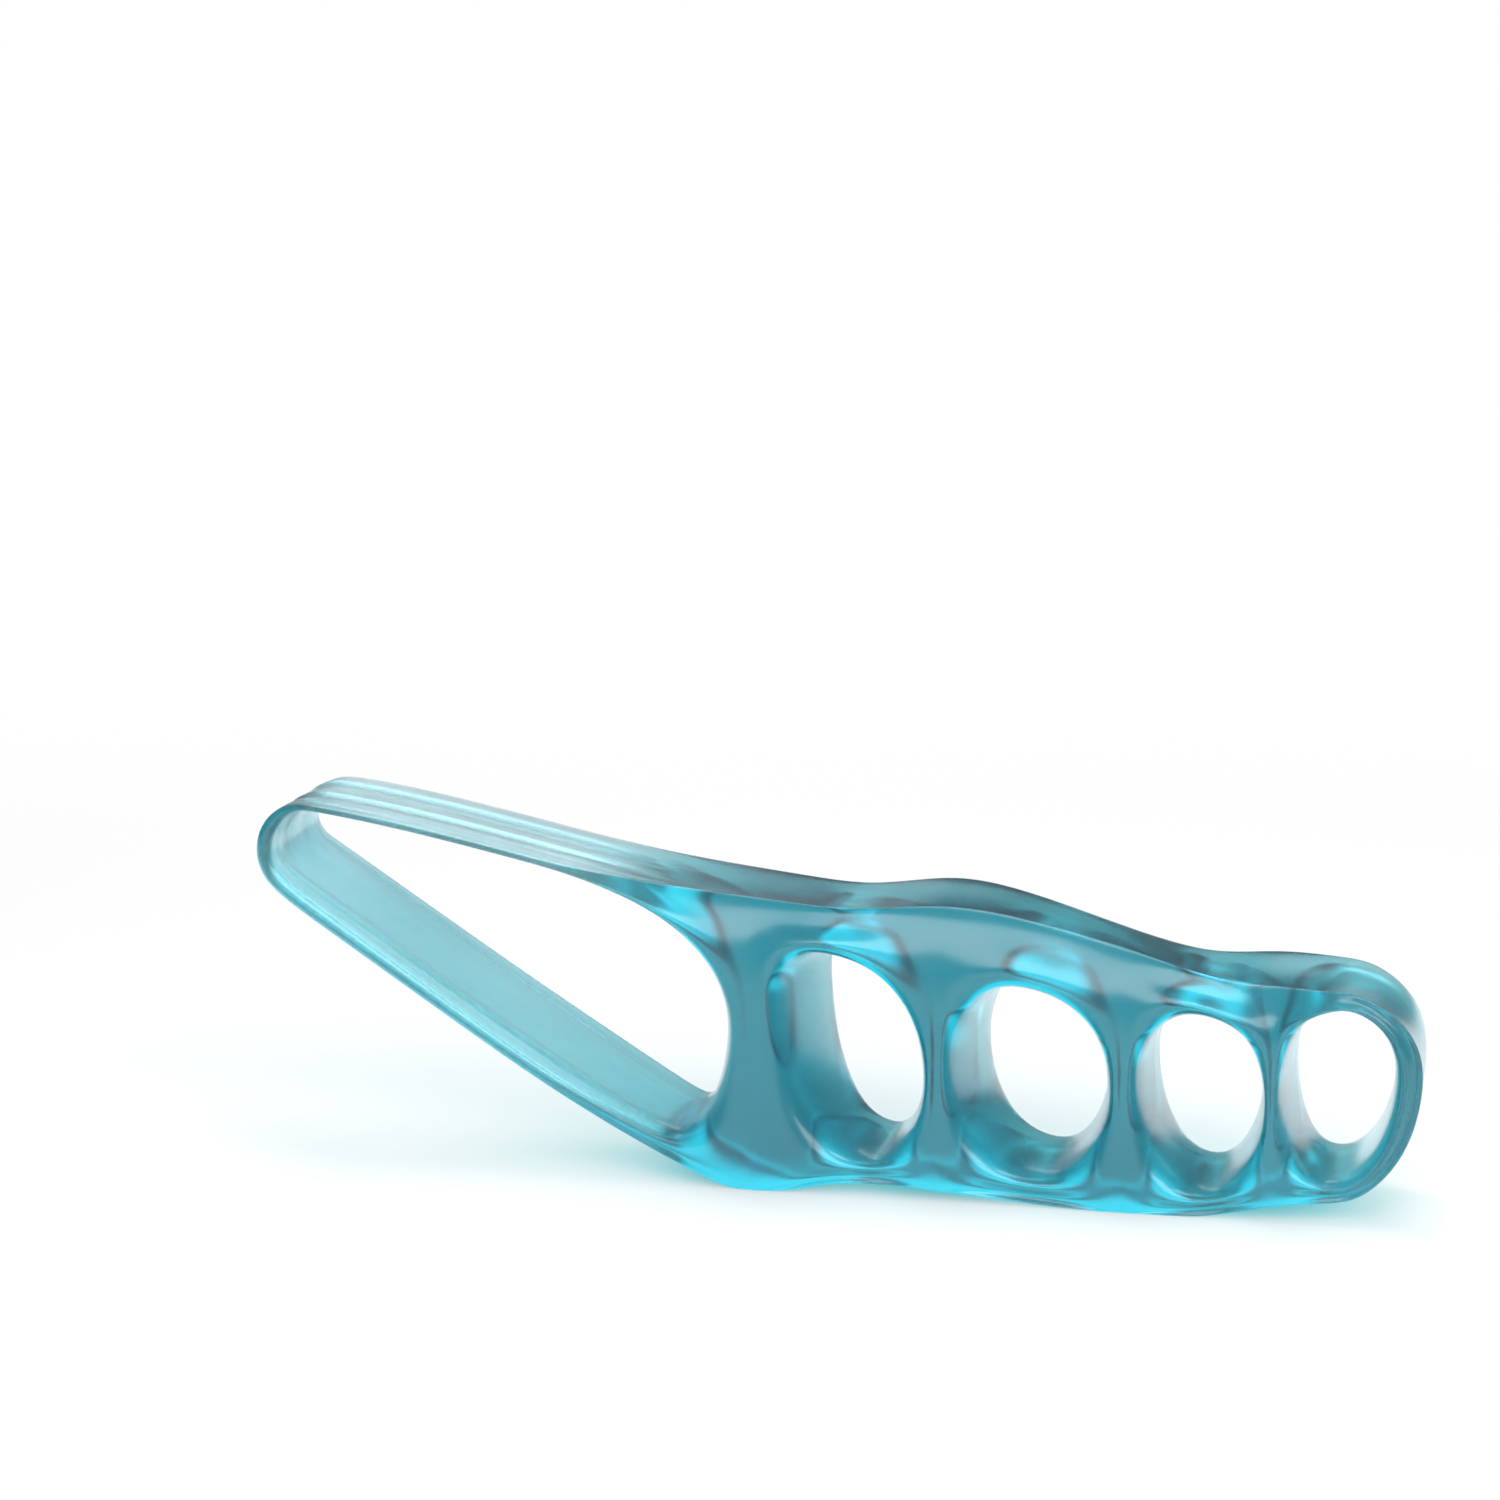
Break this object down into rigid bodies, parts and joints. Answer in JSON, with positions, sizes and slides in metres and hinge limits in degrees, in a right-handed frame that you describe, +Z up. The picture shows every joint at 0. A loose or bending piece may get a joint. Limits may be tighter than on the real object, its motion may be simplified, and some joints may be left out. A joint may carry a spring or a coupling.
{
  "type": "toe separator",
  "caption": "Soft clear gel toe separator: a row of toe holes under a wavy band, with a long stretched loop for the big toe at one end.",
  "frame": {"origin": "under the middle of the bounding box, on the surface that the moulding stands on", "axes": "+X from the big-toe loop to the little-toe end, +Y from the toe tips to the heel, +Z up"},
  "size_m": [0.1444, 0.022, 0.0464],
  "materials": {
    "gel": "smooth clear aqua-tinted gel"
  },
  "bodies": {
    "root": {"toe_separator": "gel"}
  },
  "joints": []
}
